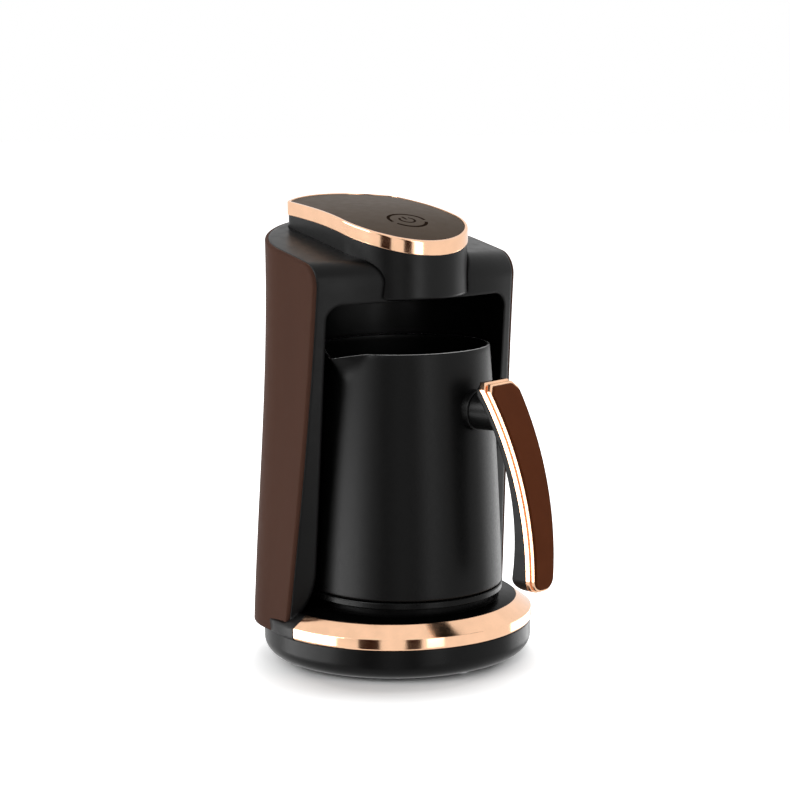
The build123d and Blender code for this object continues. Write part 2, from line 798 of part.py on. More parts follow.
with BuildPart() as hotplate:
    with BuildSketch(pot_ground.offset(plate_under)):
        Circle(deck_hole - seal_width)
        Circle(hole_radius, mode=Mode.SUBTRACT)
    extrude(amount=plate_flange_thick)
    with BuildSketch(pot_ground.offset(plate_under)):
        Circle(plate_radius)
        Circle(hole_radius, mode=Mode.SUBTRACT)
    extrude(amount=plate_thick)
    fillet(hotplate.faces().sort_by(Axis.Z)[-1].edges().sort_by(SortBy.RADIUS)[-1], radius=1)
save(hotplate.part, "hotplate")

with BuildPart() as plate_seal:
    with BuildSketch(pot_ground.offset(plate_under - seal_width / 2)):
        Circle(deck_hole)
        Circle(deck_hole - seal_width, mode=Mode.SUBTRACT)
    extrude(amount=plate_flange_thick + seal_width)
save(plate_seal.part, "plate_seal")

element_out = Vector(cos(radians(element_start)), sin(radians(element_start)), 0)
element_end = Vector(-element_out.Y, element_out.X, 0)
with BuildPart() as heating_element:
    with BuildSketch(Plane(origin=pot_ground.origin + element_circle * element_out + Vector(0, 0, element_z), x_dir=element_out, z_dir=-element_end)):
        Circle(element_radius)
    revolve(axis=Axis((0, pot_y, 0), (0, 0, 1)), revolution_arc=element_sweep)
    ends = [Plane(face) for face in heating_element.faces().filter_by(GeomType.PLANE)]
    for end in ends:
        with BuildSketch(end):
            Circle(pin_radius)
        extrude(amount=pin_length)
save(heating_element.part, "heating_element")

guide_radius = hole_radius + guide_wall
with BuildPart() as heater_bracket:
    with BuildSketch(pot_ground.offset(bracket_top)):
        Circle(bracket_radius)
        Circle(guide_radius, mode=Mode.SUBTRACT)
        with Locations((thermostat_x, 0)):
            Circle(thermostat_radius + fit, mode=Mode.SUBTRACT)
        with post_places:
            Circle(screw_radius, mode=Mode.SUBTRACT)
    extrude(amount=-bracket_thick)
save(heater_bracket.part, "heater_bracket")

with BuildPart() as heater_posts:
    with BuildSketch(pot_ground.offset(flange_z)):
        with post_places:
            Circle(post_radius)
            Circle(screw_radius, mode=Mode.SUBTRACT)
    extrude(amount=bracket_top - bracket_thick - flange_z)
save(heater_posts.part, "heater_posts")

with BuildPart() as thermostat:
    with BuildSketch(pot_ground.offset(plate_under)):
        with Locations((thermostat_x, 0)):
            Circle(thermostat_radius)
    extrude(amount=-thermostat_height)
    fillet(thermostat.faces().sort_by(Axis.Z)[0].edges(), radius=board_thick / 2)
save(thermostat.part, "thermostat")

with BuildPart() as bracket_screws:
    add(screws(pot_ground.offset(bracket_top), post_places, screw_length))
save(bracket_screws.part, "bracket_screws")

# ---- Temperature plunger ------------------------------------------------------------------------
cap_under = plate_top - plunger_cap
guide_floor = cap_under - guide_length + guide_wall
stem_bottom = guide_floor - guide_wall - plunger_travel

with BuildPart() as plunger:
    with BuildSketch(pot_ground.offset(cap_under)):
        Circle(plunger_radius)
    extrude(amount=plunger_cap)
    fillet(plunger.faces().sort_by(Axis.Z)[-1].edges(), radius=run_gap * 5)
    with BuildSketch(pot_ground.offset(stem_bottom)):
        Circle(plunger_stem)
    extrude(amount=cap_under - stem_bottom)
save(plunger.part, "plunger")

with BuildPart() as plunger_guide:
    with BuildSketch(pot_ground.offset(guide_floor - guide_wall)):
        Circle(guide_radius)
    extrude(amount=bracket_top - guide_floor + guide_wall)
    with BuildSketch(pot_ground.offset(bracket_top)):
        Circle(guide_radius + guide_wall)
    extrude(amount=guide_wall)
    with BuildSketch(pot_ground.offset(guide_floor)):
        Circle(hole_radius)
    extrude(amount=reach, mode=Mode.SUBTRACT)
    with BuildSketch(pot_ground):
        Circle(plunger_stem + run_gap)
    extrude(amount=reach, mode=Mode.SUBTRACT)
save(plunger_guide.part, "plunger_guide")

coil_radius = (plunger_stem + plunger_radius) / 2
coil_height = cap_under - guide_floor - 2 * spring_wire
coil_start = Vector(coil_radius, pot_y, guide_floor + spring_wire)
with BuildPart() as plunger_spring:
    with BuildLine() as coil:
        Helix(
            pitch=coil_height / spring_turns,
            height=coil_height,
            radius=coil_radius,
            center=(0, pot_y, guide_floor + spring_wire),
        )
    with BuildSketch(Plane(origin=coil_start, z_dir=coil.edges()[0] % 0)):
        Circle(spring_wire)
    sweep()
save(plunger_spring.part, "plunger_spring")

# ---- Pot ----------------------------------------------------------------------------------------
pot_section = Plane(origin=pot_axis, x_dir=(1, 0, 0), z_dir=(0, -1, 0))
pot_turn = Axis(origin=tuple(pot_axis), direction=(0, 0, 1))
pot_neck = pot_bottom_radius - pot_ring_width


def pot_form(inset, bottom, top):
    """The pot's turned form between two heights, drawn smaller by an inset."""
    with BuildPart() as form:
        with BuildSketch(pot_section):
            with BuildLine():
                Polyline((0, top), (0, bottom), (pot_bottom_radius - inset, bottom))
                ThreePointArc(
                    (pot_bottom_radius - inset, bottom),
                    (pot_waist_radius - inset, pot_waist),
                    (pot_rim_radius - inset, top),
                )
                Line((pot_rim_radius - inset, top), (0, top))
            make_face()
        revolve(axis=pot_turn)
    return form.part


def spout_form(inset):
    """The pouring lip's form: a pointed plan at the rim that runs down into the wall."""
    out = pot_rim_radius + spout_reach - spout_tip
    with BuildPart() as form:
        for height, tip_shift, scale in ((pot_rim, 0, 1), (pot_rim - spout_depth, spout_reach, 0.6)):
            with BuildSketch(Plane(origin=(0, pot_y, height)).rotated((0, 0, spout_angle))):
                with Locations((out - tip_shift - pot_wall * (scale < 1), 0)):
                    Circle(spout_tip - inset / 2)
                with Locations((pot_rim_radius - spout_root - 2 * pot_wall, 0)):
                    Circle(spout_root * scale - inset)
                make_hull()
        loft()
    return form.part


with BuildPart() as pot_body:
    add(pot_form(0, pot_body_z, pot_rim))
    fillet(pot_body.faces().sort_by(Axis.Z)[0].edges(), radius=pot_edge)
    add(spout_form(0))
    with BuildSketch(pot_ground.offset(pot_bottom)):
        Circle(pot_neck)
    extrude(amount=pot_edge * 4)
    add(pot_form(pot_wall, pot_bottom + pot_floor + pot_base_height, pot_rim), mode=Mode.SUBTRACT)
    add(spout_form(pot_wall), mode=Mode.SUBTRACT)
    with BuildSketch(Plane(origin=pot_axis, x_dir=spout_out, z_dir=spout_side)):
        with BuildLine():
            Polyline(
                (pot_rim_radius - spout_tip, pot_rim),
                (pot_rim_radius + spout_reach, pot_rim - spout_drop),
                (pot_rim_radius + 2 * spout_reach, pot_rim - spout_drop),
                (pot_rim_radius + 2 * spout_reach, pot_rim + spout_drop),
                (pot_rim_radius - spout_tip, pot_rim + spout_drop),
                close=True,
            )
        make_face()
    extrude(amount=spout_root, both=True, mode=Mode.SUBTRACT)
save(pot_body.part, "pot_body")

with BuildPart() as pot_base_ring:
    with BuildSketch(pot_ground.offset(pot_bottom)):
        Circle(pot_bottom_radius)
        Circle(pot_neck, mode=Mode.SUBTRACT)
    extrude(amount=pot_base_height)
    outer_edges = pot_base_ring.edges().filter_by(GeomType.CIRCLE).group_by(SortBy.RADIUS)[-1]
    fillet(outer_edges, radius=pot_base_height / 5)
save(pot_base_ring.part, "pot_base_ring")

# ---- Pot handle ---------------------------------------------------------------------------------
def handle_outline(inset):
    """The handle seen from outside: a tapered slat, cut at its top corners and round at its foot."""
    top = (handle_top_half - inset, handle_top - inset)
    foot = (handle_bottom_half - inset, handle_bottom + inset)
    with BuildPart() as outline:
        with BuildSketch(handle_face) as slat:
            with BuildLine():
                Polyline((-foot[0], foot[1]), foot, top, (-top[0], top[1]), close=True)
            make_face()
            chamfer(slat.vertices().group_by(Axis.Y)[-1], length=handle_cut)
            fillet(slat.vertices().group_by(Axis.Y)[0], radius=handle_round - inset)
        extrude(amount=reach)
    return outline.part


def inside_arc(depth):
    """Everything inside the handle's outer arc, a depth below it."""
    with BuildPart() as disc:
        with BuildSketch(handle_plane):
            with Locations((handle_reach - handle_arc, handle_arc_height)):
                Circle(handle_arc - depth)
        extrude(amount=2 * handle_top_half, both=True)
    return disc.part


with BuildPart() as finger_side:
    with BuildSketch(handle_plane):
        with BuildLine():
            heel = (grip_foot[0] + grip_heel, grip_foot[1] - grip_heel)
            ThreePointArc(grip_foot, grip_middle, grip_top)
            RadiusArc(heel, grip_foot, grip_heel)
            Polyline(grip_top, (grip_top[0], reach * 2), (0, reach * 2), (0, 0), (heel[0], 0), heel)
        make_face()
    extrude(amount=2 * handle_top_half, both=True)

boss_plane = Plane(origin=pot_axis + Vector(0, 0, boss_height), x_dir=handle_side, z_dir=handle_out)
pot_solid = pot_form(0, pot_body_z, pot_rim)

with BuildPart() as bolt_bore:
    with BuildSketch(boss_plane):
        Circle(bolt_radius)
    extrude(amount=reach)

with BuildPart() as bolt_seat:
    with BuildSketch(boss_plane.offset(stem_reach)):
        Circle(bolt_head)
    extrude(amount=reach)

with BuildPart() as handle_boss:
    with BuildSketch(boss_plane):
        Circle(boss_radius)
    extrude(amount=boss_reach)
    fillet(handle_boss.faces().sort_by(SortBy.DISTANCE)[-1].edges(), radius=0.8)
    add(pot_solid, mode=Mode.SUBTRACT)
    add(bolt_bore.part, mode=Mode.SUBTRACT)
save(handle_boss.part, "handle_boss")

with BuildPart() as handle_grip:
    add(handle_outline(fit - trim_flange))
    add(inside_arc(trim_depth), mode=Mode.INTERSECT)
    add(finger_side.part, mode=Mode.SUBTRACT)
    add(bolt_bore.part, mode=Mode.SUBTRACT)
    add(bolt_seat.part, mode=Mode.SUBTRACT)
save(handle_grip.part, "handle_grip")

with BuildPart() as handle_stem:
    with BuildSketch(boss_plane.offset(boss_reach)):
        Circle(stem_root)
    with BuildSketch(boss_plane.offset(handle_reach)):
        Circle(stem_tip)
    loft()
    add(handle_outline(fit), mode=Mode.INTERSECT)
    add(finger_side.part, mode=Mode.INTERSECT)
    add(bolt_bore.part, mode=Mode.SUBTRACT)
    add(bolt_seat.part, mode=Mode.SUBTRACT)
save(handle_stem.part, "handle_stem")

with BuildPart() as handle_bolt:
    add(bolt_bore.part)
    add(pot_solid, mode=Mode.SUBTRACT)
    with BuildSketch(boss_plane.offset(stem_reach)):
        Circle(bolt_head)
    extrude(amount=bolt_head_height)
    with BuildSketch(boss_plane.offset(stem_reach + bolt_head_height)):
        Circle(boss_radius)
    extrude(amount=reach, mode=Mode.SUBTRACT)
save(handle_bolt.part, "handle_bolt")

panel_seat_depth = handle_panel_thick - panel_proud
flange_depth = trim_depth - trim_flange_height
with BuildPart() as handle_pocket:
    add(handle_outline(panel_border))
    add(inside_arc(panel_seat_depth), mode=Mode.SUBTRACT)

with BuildPart() as trim_flange_form:
    add(handle_outline(-trim_flange))
    add(inside_arc(flange_depth), mode=Mode.INTERSECT)

with BuildPart() as trim_groove_form:
    add(handle_outline(0))
    add(handle_outline(trim_groove), mode=Mode.SUBTRACT)
    add(inside_arc(flange_depth - trim_groove), mode=Mode.INTERSECT)

with BuildPart() as handle_trim:
    add(handle_outline(0))
    add(inside_arc(0), mode=Mode.INTERSECT)
    add(trim_groove_form.part, mode=Mode.SUBTRACT)
    add(trim_flange_form.part)
    add(inside_arc(trim_depth), mode=Mode.SUBTRACT)
    add(handle_pocket.part, mode=Mode.SUBTRACT)
save(handle_trim.part, "handle_trim")

with BuildPart() as handle_panel:
    add(handle_outline(panel_border + fit))
    add(inside_arc(-panel_proud), mode=Mode.INTERSECT)
    add(inside_arc(panel_seat_depth), mode=Mode.SUBTRACT)
save(handle_panel.part, "handle_panel")

# ---- Wiring -------------------------------------------------------------------------------------
pin_tip = element_circle * element_out - pin_length * element_end + Vector(0, pot_y, element_z)
relay_under = on_board(-main_board_width / 5, -main_board_height / 4)


def lead(side):
    """One heater wire: from the element's end, under the deck and up the column to the relay."""
    tip = Vector(side * abs(pin_tip.X), pin_tip.Y, pin_tip.Z)
    relay_x = relay_under.origin.X + side * relay_size[0] / 4
    relay_y = relay_under.origin.Y + relay_size[1] / 2
    relay_z = relay_under.origin.Z - relay_size[2] / 2
    out_x = side * wire_apart / 2
    route = [
        tip,
        Vector(out_x, tip.Y + wire_bend, element_z),
        Vector(out_x, wire_back_y, element_z),
        Vector(out_x, wire_back_y, main_board_bottom - 4 * wire_bend),
        Vector(relay_x, relay_y, main_board_bottom + wire_bend),
        Vector(relay_x, relay_y, relay_z),
    ]
    with BuildPart() as wire:
        with BuildLine():
            path = FilletPolyline(*route, radius=wire_bend)
        with BuildSketch(Plane(origin=path @ 0, z_dir=path % 0)):
            Circle(wire_radius)
        sweep()
    return wire.part


with BuildPart() as heater_leads:
    add(lead(-1))
    add(lead(1))
    add(heating_element.part, mode=Mode.SUBTRACT)
save(heater_leads.part, "heater_leads")

touch_end = touch_plane.offset(-board_thick).from_local_coords((touch_board_size[0] / 4, touch_board_size[1] / 3, 0))
with BuildPart() as head_cable:
    cable_y = rear_of_board.origin.Y + wire_radius
    cable_turn = ceiling_top + 4 * wire_bend
    with BuildLine():
        cable = FilletPolyline(
            (touch_end.X, cable_y, main_board_bottom + main_board_height - wire_bend),
            (touch_end.X, cable_y, cable_turn),
            (touch_end.X, touch_end.Y, cable_turn),
            touch_end,
            radius=wire_bend,
        )
    with BuildSketch(Plane(origin=cable @ 0, z_dir=cable % 0)):
        Circle(wire_radius)
    sweep()
    add(touch_board.part, mode=Mode.SUBTRACT)
save(head_cable.part, "head_cable")
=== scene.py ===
import math

import bpy
from mathutils import Matrix, Vector


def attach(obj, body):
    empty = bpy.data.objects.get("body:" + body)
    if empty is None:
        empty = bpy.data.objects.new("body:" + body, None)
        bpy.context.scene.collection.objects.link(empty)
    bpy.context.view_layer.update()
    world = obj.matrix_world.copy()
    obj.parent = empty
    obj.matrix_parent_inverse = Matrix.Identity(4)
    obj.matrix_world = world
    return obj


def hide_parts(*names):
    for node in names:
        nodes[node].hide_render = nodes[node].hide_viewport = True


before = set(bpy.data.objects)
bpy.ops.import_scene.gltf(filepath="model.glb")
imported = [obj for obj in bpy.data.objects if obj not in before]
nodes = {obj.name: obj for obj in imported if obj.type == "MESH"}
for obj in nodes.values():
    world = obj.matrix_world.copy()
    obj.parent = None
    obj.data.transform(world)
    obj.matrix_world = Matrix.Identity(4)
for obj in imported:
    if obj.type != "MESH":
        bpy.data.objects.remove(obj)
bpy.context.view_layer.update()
scene = bpy.context.scene

# ---- Camera, in metres --------------------------------------------------------------------------
AZIMUTH = math.radians(33.57)  # how far the camera stands round to the left of the front
CAMERA_OUT, CAMERA_UP = 1.118, 0.313
PITCH, YAW, ROLL = math.radians(8.59), math.radians(0.01), math.radians(-0.69)
FOCAL, PICTURE_WIDTH = 2031.0, 790.0  # both in pixels
SENSOR = 36.0  # in millimetres, as Blender has it

# ---- Pot, in metres, with the solid's foot, waist, rim and wall ---------------------------------
POT_Y = -0.0088
POT_FLOOR, POT_BODY, WAIST_Z, RIM_Z = 0.0367, 0.0408, 0.112, 0.1738
FOOT_R, WAIST_R, RIM_R = 0.054, 0.0514, 0.0478
WALL = 0.0018
UNDERSIDE_R, UNDERSIDE_BEVEL = 0.0498, (0.0006, 0.0004)  # the step under the pot, and its edge
STEP_GAP = 0.0002  # the step ends this far under the foot
FOOT_ROUND = 0.0016
FLOOR_THICK, INNER_CORNER = 0.0068, 0.0014
CORNER_LEVEL = 0.008  # the wall's radius at its lower end is taken this far above the underside
RIM_START, RIM_BREAK, RIM_FLAT = 0.0008, 0.0002, 0.0006  # under the rim, and in from each of its edges
MIDDLE_R = 0.03  # one more ring in the underside and in the inner floor
POT_STEPS, FOOT_STEPS, CORNER_STEPS, POT_TURNS = 56, 6, 5, 360

# ---- Pouring lip, in metres: a smoother form of the solid's, at the same place ------------------
SPOUT_AZIMUTH = math.radians(192.0)
SPOUT_REACH, SPOUT_DROP, SPOUT_TALL = 0.0085, 0.0028, 0.017
SPOUT_HALF, SPOUT_SPREAD = math.radians(9.0), math.radians(13.0)  # half its width, and what that gains
SPOUT_ACROSS, SPOUT_PINCH = 1.35, 0.15  # how sharp its ridge is
SPOUT_RISE, SPOUT_DIP = 1.6, 3  # exponents of its reach and its drop towards the rim
SPOUT_INSIDE = 0.04  # what lies nearer to the axis than this isn't pressed out

# ---- Touch icon, in metres, on the solid's crowned top panel ------------------------------------
CROWN = (0.2459, 0.194, -2.1, 14.0)  # the top's height along Y, as the terms of a cubic
CROWN_RADIUS = 0.620  # how it falls away to the sides
CROWN_PIVOT = CROWN[0] - CROWN_RADIUS
PANEL_DROP = 0.0004  # the panel's surface lies this far under the crown
ICON_Y, ICON_R = -0.0145, 0.0104
ICON_BROAD, ICON_FINE = 0.0018, 0.0013  # the widths of its printed lines
POWER_R, POWER_FOOT, POWER_BAR, POWER_STEPS = 0.0042, 0.0005, 0.0047, 12
PRINT_ACROSS = (-0.5, -0.46, -0.38, 0.38, 0.46, 0.5)  # places across a printed line, in widths
PRINT_RISE = (0.00000, 0.00003, 0.00004, 0.00004, 0.00003, 0.00000)

# ---- Studio, in metres and degrees --------------------------------------------------------------
WORLD_LIGHT = 0.55  # for diffuse light; the camera, gloss and glass see a white of 1
FLOOR_GREY = 0.9
PAINTED_SHADE_FADE, FLOOR_LIFT = (0.052, 0.105), (0.0, 0.9)  # where the floor's glow turns it plain white, and by how much; nearer in it is left grey as painted shade round the object
PAINTED_SHADE_MIDDLE = 0.035  # the middle of that painted shade lies this far in front of the object's middle
FLOOR_RINGS, FLOOR_SIDES = (0.0, 0.1, 0.2, 0.4, 0.8, 1.6, 3.2, 6.0, 12.0), 96
LAMP_AIM_Z = 0.13
CARD_STEPS = 4
SOFTBOXES = (  # name, azimuth, elevation, distance, width, height, radiance
    ("softbox_left", -72, 12, 1.5, 0.7, 1.5, 3.4),
    ("softbox_right", 62, 10, 1.6, 0.4, 1.4, 2.0),
    ("softbox_rim", 118, 14, 1.6, 0.5, 1.3, 4.0),
    ("softbox_top", 168, 62, 1.4, 1.1, 1.0, 2.0),
)
CARDS = (  # name, azimuth, distance, width, lower edge, upper edge, colour
    ("bright_card_left", -81, 1.2, 1.3, -0.4, 0.05, (6.5, 6.5, 6.5)),
    ("bright_card_high", -75, 1.2, 1.3, 0.45, 1.2, (9, 9, 9)),
    ("bright_card_front", 31, 1.2, 0.3, -0.3, 1.1, (3.4, 3.4, 3.4)),
    ("bright_card_rim", 133, 1.2, 1.0, -0.4, 0.02, (3.2, 3.2, 3.2)),
    ("dark_card_left", -23, 0.9, 0.28, -0.7, 0.9, (0.03, 0.015, 0.01)),
    ("dark_card_right", 13, 0.9, 0.20, -0.7, 0.9, (0.03, 0.015, 0.01)),
)


def turned(u, v, z=0.0):
    """A place given across and along the camera's line, in the object's frame."""
    cosine, sine = math.cos(AZIMUTH), math.sin(AZIMUTH)
    return Vector((u * cosine + v * sine, -u * sine + v * cosine, z))


# ---- Camera -------------------------------------------------------------------------------------
def add_camera():
    """The camera at its place, turned by its pitch, yaw and roll."""
    ahead = Vector((math.sin(YAW) * math.cos(PITCH), math.cos(YAW) * math.cos(PITCH), -math.sin(PITCH)))
    across = Vector((math.cos(YAW), -math.sin(YAW), 0))
    up = across.cross(ahead)
    right = across * math.cos(ROLL) + up * math.sin(ROLL)
    above = -across * math.sin(ROLL) + up * math.cos(ROLL)
    data = bpy.data.cameras.new("photo_camera")
    data.sensor_fit = "HORIZONTAL"
    data.sensor_width = SENSOR
    data.lens = FOCAL * SENSOR / PICTURE_WIDTH
    data.clip_start, data.clip_end = 0.01, 60.0
    camera = bpy.data.objects.new("photo_camera", data)
    scene.collection.objects.link(camera)
    axes = [turned(*a[:2], a[2]) for a in (right, above, -ahead)]
    place = turned(0, -CAMERA_OUT, CAMERA_UP)
    rows = [[axes[0][i], axes[1][i], axes[2][i], place[i]] for i in range(3)]
    camera.matrix_world = Matrix(rows + [[0, 0, 0, 1]])
    scene.camera = camera


add_camera()


# ---- Materials ----------------------------------------------------------------------------------
def srgb(r, g, b):
    """A colour given as it reads on screen, 0 to 255, in linear values."""
    shares = (r / 255, g / 255, b / 255)
    return tuple(c / 12.92 if c <= 0.04045 else ((c + 0.055) / 1.055) ** 2.4 for c in shares)


class Surface:
    """A principled material with its texture made of noise in the object's own space."""

    INDEX = 1.5
    NOISE_ROUGHNESS, NOISE_SPAN = 0.55, (0.3, 0.7)
    BEVEL_SAMPLES = 6

    def __init__(self, name, metallic=0.0, specular=0.5, coat=0.0, coat_rough=0.1):
        self.name = name
        self.material = bpy.data.materials.new(name)
        self.material.use_nodes = True
        self.tree = self.material.node_tree
        self.tree.nodes.clear()
        out = self.tree.nodes.new("ShaderNodeOutputMaterial")
        self.shader = self.tree.nodes.new("ShaderNodeBsdfPrincipled")
        self.tree.links.new(self.shader.outputs[0], out.inputs[0])
        self.place = self.tree.nodes.new("ShaderNodeTexCoord")
        values = {
            "Metallic": metallic,
            "Specular IOR Level": specular,
            "Coat Weight": coat,
            "Coat Roughness": coat_rough,
            "IOR": self.INDEX,
        }
        for socket, value in values.items():
            self.shader.inputs[socket].default_value = value

    def noise(self, scale, detail=3.0, stretch=(1, 1, 1)):
        """The value of a noise in the object's space."""
        source = self.place.outputs["Object"]
        if stretch != (1, 1, 1):
            mapping = self.tree.nodes.new("ShaderNodeMapping")
            mapping.inputs["Scale"].default_value = stretch
            self.tree.links.new(source, mapping.inputs["Vector"])
            source = mapping.outputs["Vector"]
        node = self.tree.nodes.new("ShaderNodeTexNoise")
        node.inputs["Scale"].default_value = scale
        node.inputs["Detail"].default_value = detail
        node.inputs["Roughness"].default_value = self.NOISE_ROUGHNESS
        self.tree.links.new(source, node.inputs["Vector"])
        return node.outputs["Fac"]

    def colour(self, base, spread, scale, stretch=(1, 1, 1), low=0.35, high=0.65, tint=None):
        """A colour that varies by its spread, or from a little darker to the tint."""
        ramp = self.tree.nodes.new("ShaderNodeValToRGB")
        darker = tuple(c * (1 - spread) for c in base)
        lighter = tint or tuple(min(1, c * (1 + spread)) for c in base)
        ramp.color_ramp.elements[0].position, ramp.color_ramp.elements[1].position = low, high
        ramp.color_ramp.elements[0].color = (*darker, 1)
        ramp.color_ramp.elements[1].color = (*lighter, 1)
        self.tree.links.new(self.noise(scale, stretch=stretch), ramp.inputs["Fac"])
        self.tree.links.new(ramp.outputs["Color"], self.shader.inputs["Base Color"])
        return self

    def rough(self, value, spread, scale):
        """A roughness that varies by its spread."""
        reach = self.tree.nodes.new("ShaderNodeMapRange")
        reach.inputs["From Min"].default_value, reach.inputs["From Max"].default_value = self.NOISE_SPAN
        reach.inputs["To Min"].default_value = max(0.01, value - spread)
        reach.inputs["To Max"].default_value = value + spread
        self.tree.links.new(self.noise(scale), reach.inputs["Value"])
        self.tree.links.new(reach.outputs["Result"], self.shader.inputs["Roughness"])
        return self

    def bump(self, scale, strength, depth, detail=2.0, edge=0.0):
        """Fine relief. An edge size softens how light runs over the moulding's sharp edges."""
        node = self.tree.nodes.new("ShaderNodeBump")
        if edge:
            bevel = self.tree.nodes.new("ShaderNodeBevel")
            bevel.samples = self.BEVEL_SAMPLES
            bevel.inputs["Radius"].default_value = edge
            self.tree.links.new(bevel.outputs["Normal"], node.inputs["Normal"])
        node.inputs["Strength"].default_value = strength
        node.inputs["Distance"].default_value = depth
        self.tree.links.new(self.noise(scale, detail=detail), node.inputs["Height"])
        self.tree.links.new(node.outputs["Normal"], self.shader.inputs["Normal"])
        return self


def make_materials():
    """Every finish by its name."""
    made = [
        Surface("tub_black", specular=0.13)
        .colour(srgb(10, 10, 10), 0.1, 90)
        .rough(0.30, 0.03, 160)
        .bump(2600, 0.05, 0.00004, edge=0.0012),
        Surface("deck_black", specular=0.02)
        .colour(srgb(4, 4, 4), 0.1, 90)
        .rough(0.24, 0.03, 160)
        .bump(2200, 0.04, 0.00004),
        Surface("column_black", specular=0.16)
        .colour(srgb(8, 8, 8), 0.12, 70)
        .rough(0.34, 0.04, 150)
        .bump(2800, 0.08, 0.00005, edge=0.0024),
        Surface("grip_black", specular=0.12)
        .colour(srgb(12, 12, 12), 0.12, 70)
        .rough(0.34, 0.04, 150)
        .bump(2800, 0.08, 0.00005, edge=0.001),
        Surface("head_black", specular=0.19)
        .colour(srgb(10, 10, 10), 0.12, 70)
        .rough(0.33, 0.03, 150)
        .bump(3000, 0.1, 0.00005),
        Surface("underside_black", specular=0.06)
        .colour(srgb(8, 8, 8), 0.1, 70)
        .rough(0.4, 0.04, 150)
        .bump(2600, 0.1, 0.00005),
        Surface("brown_skin", specular=0.015)
        .colour(srgb(72, 49, 40), 0.04, 35, stretch=(1, 1, 0.25))
        .rough(0.46, 0.04, 180)
        .bump(3200, 0.08, 0.00004, edge=0.0014),
        Surface("brown_handle", specular=0.01)
        .colour(srgb(85, 44, 25), 0.05, 60)
        .rough(0.4, 0.04, 180)
        .bump(3000, 0.06, 0.00004, edge=0.0006),
        Surface("taupe_panel", specular=0.03)
        .colour(srgb(72, 60, 49), 0.04, 60)
        .rough(0.42, 0.03, 200)
        .bump(3400, 0.05, 0.00004),
        Surface("rose_chrome", metallic=1.0)
        .colour(srgb(250, 202, 166), 0.04, 80)
        .rough(0.11, 0.03, 140)
        .bump(900, 0.03, 0.00003, edge=0.0006),
        Surface("pot_coat", specular=0.15)
        .colour(srgb(7, 7, 7), 0.35, 2400, low=0.42, high=0.62)
        .rough(0.38, 0.05, 900)
        .bump(2600, 0.32, 0.00007, detail=3.0),
        Surface("pot_foot", specular=0.12)
        .colour(srgb(9, 9, 9), 0.15, 600)
        .rough(0.3, 0.05, 500)
        .bump(2400, 0.12, 0.00005),
        Surface("rim_metal", metallic=1.0)
        .colour(srgb(205, 205, 204), 0.08, 900)
        .rough(0.3, 0.06, 700)
        .bump(2600, 0.1, 0.00003),
        Surface("plate_cast", specular=0.08)
        .colour(srgb(9, 9, 9), 0.14, 700)
        .rough(0.42, 0.07, 500)
        .bump(1500, 0.25, 0.00008),
        Surface("bright_steel", metallic=1.0)
        .colour(srgb(196, 196, 198), 0.06, 300)
        .rough(0.25, 0.05, 300)
        .bump(1800, 0.06, 0.00003),
        Surface("heater_steel", metallic=0.9)
        .colour(srgb(110, 104, 98), 0.2, 220)
        .rough(0.45, 0.08, 250)
        .bump(1500, 0.15, 0.00005),
        Surface("black_rubber", specular=0.2)
        .colour(srgb(20, 20, 20), 0.15, 400)
        .rough(0.7, 0.06, 500)
        .bump(1800, 0.3, 0.0001),
        Surface("dark_silicone", specular=0.05)
        .colour(srgb(9, 8, 8), 0.1, 300)
        .rough(0.55, 0.06, 400)
        .bump(1600, 0.15, 0.00006),
        Surface("board_green", specular=0.45, coat=0.3)
        .colour(srgb(28, 84, 52), 0.18, 260, tint=srgb(44, 108, 66))
        .rough(0.4, 0.06, 300)
        .bump(1200, 0.15, 0.00008),
        Surface("part_black", specular=0.4)
        .colour(srgb(28, 28, 30), 0.15, 500)
        .rough(0.45, 0.06, 400)
        .bump(2000, 0.15, 0.00005),
        Surface("part_amber", specular=0.4)
        .colour(srgb(196, 148, 58), 0.1, 400)
        .rough(0.4, 0.06, 400)
        .bump(1800, 0.1, 0.00005),
        Surface("white_insulator", specular=0.4)
        .colour(srgb(206, 202, 190), 0.06, 300)
        .rough(0.5, 0.06, 400)
        .bump(1800, 0.12, 0.00006),
        Surface("milky_guide", specular=0.5)
        .colour(srgb(214, 212, 206), 0.04, 300)
        .rough(0.35, 0.05, 400)
        .bump(1500, 0.05, 0.00005),
        Surface("dark_lens", specular=0.8, coat=1.0, coat_rough=0.05)
        .colour(srgb(26, 22, 26), 0.12, 300)
        .rough(0.12, 0.03, 400)
        .bump(900, 0.02, 0.00003),
        Surface("wire_jacket", specular=0.4)
        .colour(srgb(168, 44, 36), 0.1, 300)
        .rough(0.5, 0.06, 400)
        .bump(1500, 0.1, 0.00005),
        Surface("icon_print", specular=0.0)
        .colour(srgb(34, 25, 19), 0.15, 900)
        .rough(0.42, 0.05, 500)
        .bump(2600, 0.06, 0.00003),
    ]
    return {surface.name: surface.material for surface in made}


materials = make_materials()

